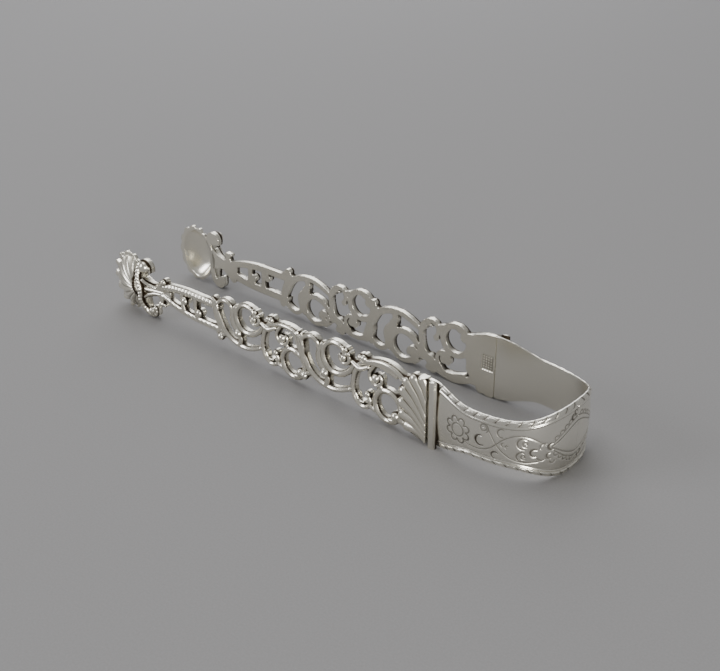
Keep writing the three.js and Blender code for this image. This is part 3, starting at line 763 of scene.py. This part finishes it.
FLOWER_X, FLOWER_Z, PETALS = 9.8, -0.3, 8
cuts = [(turn(FLOWER_X, FLOWER_Z, 1.65, 1.65, 0, 360, 25), [0.3])]
for k in range(PETALS):
    towards = 22 + 45 * k
    x = FLOWER_X + 2.55 * np.cos(np.radians(towards))
    z = FLOWER_Z + 2.55 * np.sin(np.radians(towards))
    cuts.append((turn(x, z, 0.85, 0.85, towards - 115, towards + 115), [0.2, 0.42, 0.2]))
cuts += [
    # curls that hang on the crossing lines
    (turn(16.8, 2.9, 1.25, 0.55, -50, 330), [0.15, 0.35, 0.3]),
    crescent(17.0, 2.9, 0.55, -90, 150, 0.45),
    crescent(16.2, -0.5, 1.35, 80, 300, 0.7),
    crescent(21.2, 2.8, 1.05, 70, 290, 0.5),
    crescent(19.9, -3.4, 0.95, 50, 260, 0.6),
    crescent(21.7, 0.0, 0.45, 90, 270, 0.4),
    crescent(22.6, -0.4, 0.4, 60, 250, 0.3),
    crescent(26.2, 1.0, 1.4, 60, 280, 0.55),
    (turn(26.6, 1.0, 0.75, 0.35, 300, 0), [0.15, 0.3]),
    crescent(26.0, -2.5, 1.25, 70, 290, 0.5),
    (turn(26.3, -2.5, 0.65, 0.3, 300, 0), [0.15, 0.3]),
    crescent(28.7, -1.2, 0.95, 60, 290, 0.65),
    crescent(30.9, 0.2, 1.05, 70, 190, 0.45),
    crescent(30.3, -2.4, 0.95, 190, 330, 0.5),
    crescent(32.6, 0.2, 0.85, 90, 280, 0.8),
    crescent(32.3, -2.2, 0.8, 100, 280, 0.7),
    crescent(33.0, -3.7, 0.7, 150, 350, 0.45),
    # two lines that cross
    ([(17.9, 3.0), (18.8, 1.6), (20, -0.35), (21.6, -2.1), (23.8, -3.5), (26.8, -4.0), (29.6, -3.6)],
     [0.16, 0.22, 0.14]),
    ([(11.6, -2.5), (14, -3.0), (16.4, -2.8), (18.5, -1.8), (20, -0.35), (22, 1.6), (24.4, 2.8), (27, 2.9),
      (29.2, 2.0), (31, 0.8)], [0.12, 0.22, 0.14]),
]


def cartouche():
    """A long blank shield round the crown: two plain lines that part from a point, with scallops outside."""
    lines = []
    share = np.linspace(0, 1, 9)
    for side in (1, -1):
        inner = [(32.6 + 8.5 * t, side * (0.1 + 3.9 * np.sin(t * np.pi / 2) ** 1.1)) for t in share]
        outer = [(33.2 + 7.9 * t, side * (1.1 + 4.2 * np.sin(t * np.pi / 2))) for t in share]
        lines += [(inner, [0.18, 0.26]), (outer, [0.16, 0.2])]
        for t in np.linspace(0.08, 0.75, 5):
            x, z = 33.2 + 7.9 * t, side * (1.1 + 4.2 * np.sin(t * np.pi / 2) + 0.35)
            lean = np.degrees(np.arctan2(4.2 * np.cos(t * np.pi / 2) * np.pi / 2, 7.9))
            start, end = (lean - 10, lean + 190) if side > 0 else (170 - lean, 370 - lean)
            lines.append((turn(x, z, 0.62, 0.62, start, end), [0.14, 0.34, 0.2]))
    lines += [crescent(38.9, 5.6, 0.7, 90, 290, 0.75), crescent(39.9, 6.5, 0.6, 90, 290, 0.65)]
    rings = [(40.6, 7.0, 0.42), (41.6, 7.3, 0.36), (42.6, 7.5, 0.3)]
    lines += [(turn(x, z, r, r, 0, 360, 13), [0.35]) for x, z, r in rings]
    return lines


cuts += cartouche()
print("cuts on each half of the bow:", len(cuts))

# %% [markdown]
# The border is a feather edge: a narrow raised strip with slanting nicks, and a fine fillet inside it.

# %% Press the cuts and raise the border
def bow_surface(run, z, half):
    """Height added to the outer face in mm, tarnish, and how far the nicks cut in from the edge in steps."""
    depth = np.zeros(run.shape)
    for path, width in cuts:
        line = smooth_curve(path, 40)
        wide = np.interp(np.linspace(0, 1, 40), np.linspace(0, 1, len(width)), width) / 2
        low, high = line.min(0) - 0.9, line.max(0) + 0.9
        part = (run > low[0]) & (run < high[0]) & (z > low[1]) & (z < high[1])
        px, pz = run[part][:, None], z[part][:, None]
        step = np.diff(line, axis=0)
        dx, dz = px - line[:-1, 0], pz - line[:-1, 1]
        t = np.clip((dx * step[:, 0] + dz * step[:, 1]) / (step**2).sum(1), 0, 1)
        far = np.hypot(dx - t * step[:, 0], dz - t * step[:, 1]) / (wide[:-1] + 0.11)
        depth[part] = np.maximum(depth[part], np.exp(-(far.min(1) ** 2)) * np.clip(wide.max() * 2.8, 0.5, 1))
    inset = half - abs(z)
    band = smoothstep(inset, 1.3, 1.1)
    strand = np.abs(np.cos(np.pi * (run / 2.7 + inset * 0.28))) ** 0.35
    border = band * (0.08 + 0.17 * strand * smoothstep(inset, -0.2, 0.4))
    fillet = 0.12 * np.exp(-(((inset - 1.72) / 0.2) ** 2))
    clear = smoothstep(run, 2.9, 3.4)
    tarnish_and_shade = np.maximum(np.minimum(depth * 1.15, 0.7), band * (1 - strand) * 1.1)
    tarnish_and_shade = np.maximum(tarnish_and_shade, 0.45 * np.exp(-(((inset - 2.08) / 0.13) ** 2)))
    notch = clear * 0.16 * (1 - strand) * smoothstep(inset, 0.9, 0)
    return clear * (border + fillet) - depth * 0.2, clear * tarnish_and_shade, notch


def bow_half(side, along=430, across=200):
    run = np.linspace(0.02, HALF_BOW, along)
    share = np.sin(np.linspace(-1, 1, across) * np.pi / 2 * 0.93) / np.sin(np.pi / 2 * 0.93)
    grid_run, grid_share = np.meshgrid(run, share, indexing="ij")
    half = bow_half_width(grid_run)
    z = grid_share * half
    raised, tarnish_and_shade, notch = bow_surface(grid_run, z, half)
    soft = 0.18 * smoothstep(half - abs(z), 0.25, 0) ** 2
    rolled = 0.2 * smoothstep(half - abs(z), 0.6, 0) ** 2
    domed = 0.5 * grid_share**2
    outer = on_bow(grid_run, z - np.sign(z) * notch, BOW_SKIN + raised - rolled - domed)
    inner = on_bow(grid_run, z, -BOW_SKIN + soft * 0.6)
    points = np.concatenate([outer.reshape(-1, 3), inner.reshape(-1, 3)])
    number = np.arange(along * across).reshape(along, across)
    quads = np.stack([number[:-1, :-1], number[1:, :-1], number[1:, 1:], number[:-1, 1:]], -1).reshape(-1, 4)
    edge = np.concatenate([number[:, 0], number[-1, 1:], number[-2::-1, -1], number[0, -2:0:-1]])
    skin = along * across
    wall = [[a, b, b + skin, a + skin] for a, b in zip(edge, np.roll(edge, -1))]
    faces = quads.tolist() + (quads + skin)[:, ::-1].tolist() + wall
    tarnish_and_shade = np.concatenate([tarnish_and_shade.ravel(), np.full(skin, 0.03)])
    points = points if side == "near" else to_far_side(points)
    bow = silver_piece(f"{side}_half_of_bow", points, faces, tarnish_and_shade, sheet_silver)
    return bow


for side, sign in (("near", -1), ("far", 1)):
    bow = bow_half(side)
    nodes = [f"{side}_bow_flank"] + (["bow_crown"] if side == "near" else [])
    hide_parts(*nodes)
    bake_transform(bow)

# %% [markdown]
# ## The shoulder bands
# A rounded moulding covers the joint of strip and casting. Its ends are cut square, and a flat step, painted
# dark as shade, runs along each of its sides.

# %% Shoulder bands
def shoulder_band(side):
    low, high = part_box("near_shoulder_band")
    middle, wide = (low.x + high.x) / 2, (high.x - low.x) / 2
    back, front = high.y, low.y
    t = np.linspace(0, np.pi, 25)
    foot = back + 0.0003
    round_top = [(middle + wide * 0.7 * np.sign(np.cos(a)) * abs(np.cos(a)) ** 0.6,
                  back - 0.00025 - (back - front - 0.00025) * np.sin(a) ** 0.5) for a in t]
    profile = [(middle + wide, foot), (middle + wide, back - 0.00012), *round_top,
               (middle - wide, back - 0.00012), (middle - wide, foot)]
    levels = [(low.z, 0.93), (low.z + 0.0001, 1.0), (high.z - 0.0001, 1.0), (high.z, 0.93)]
    centre = (back + front) / 2
    points = np.array([(middle + (x - middle) * k, centre + (y - centre) * k, z)
                       for z, k in levels for x, y in profile])
    count = len(profile)
    faces = []
    for r in range(3):
        for k in range(count):
            n = (k + 1) % count
            faces.append([r * count + k, r * count + n, (r + 1) * count + n, (r + 1) * count + k])
    faces += [list(range(count)), list(range(3 * count, 4 * count))]
    points = points if side == "near" else to_far_side(points)
    # The flat steps along the band's sides are painted dark as shade; its rounded top stays bright.
    tarnish_and_shade = np.tile([0.9, 0.75, *[0.03] * 25, 0.75, 0.9], 4)
    band = silver_piece(f"{side}_moulding", points, faces, tarnish_and_shade, sheet_silver)
    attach(band, f"{side}_arm")
    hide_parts(f"{side}_shoulder_band")


for side in ("near", "far"):
    shoulder_band(side)
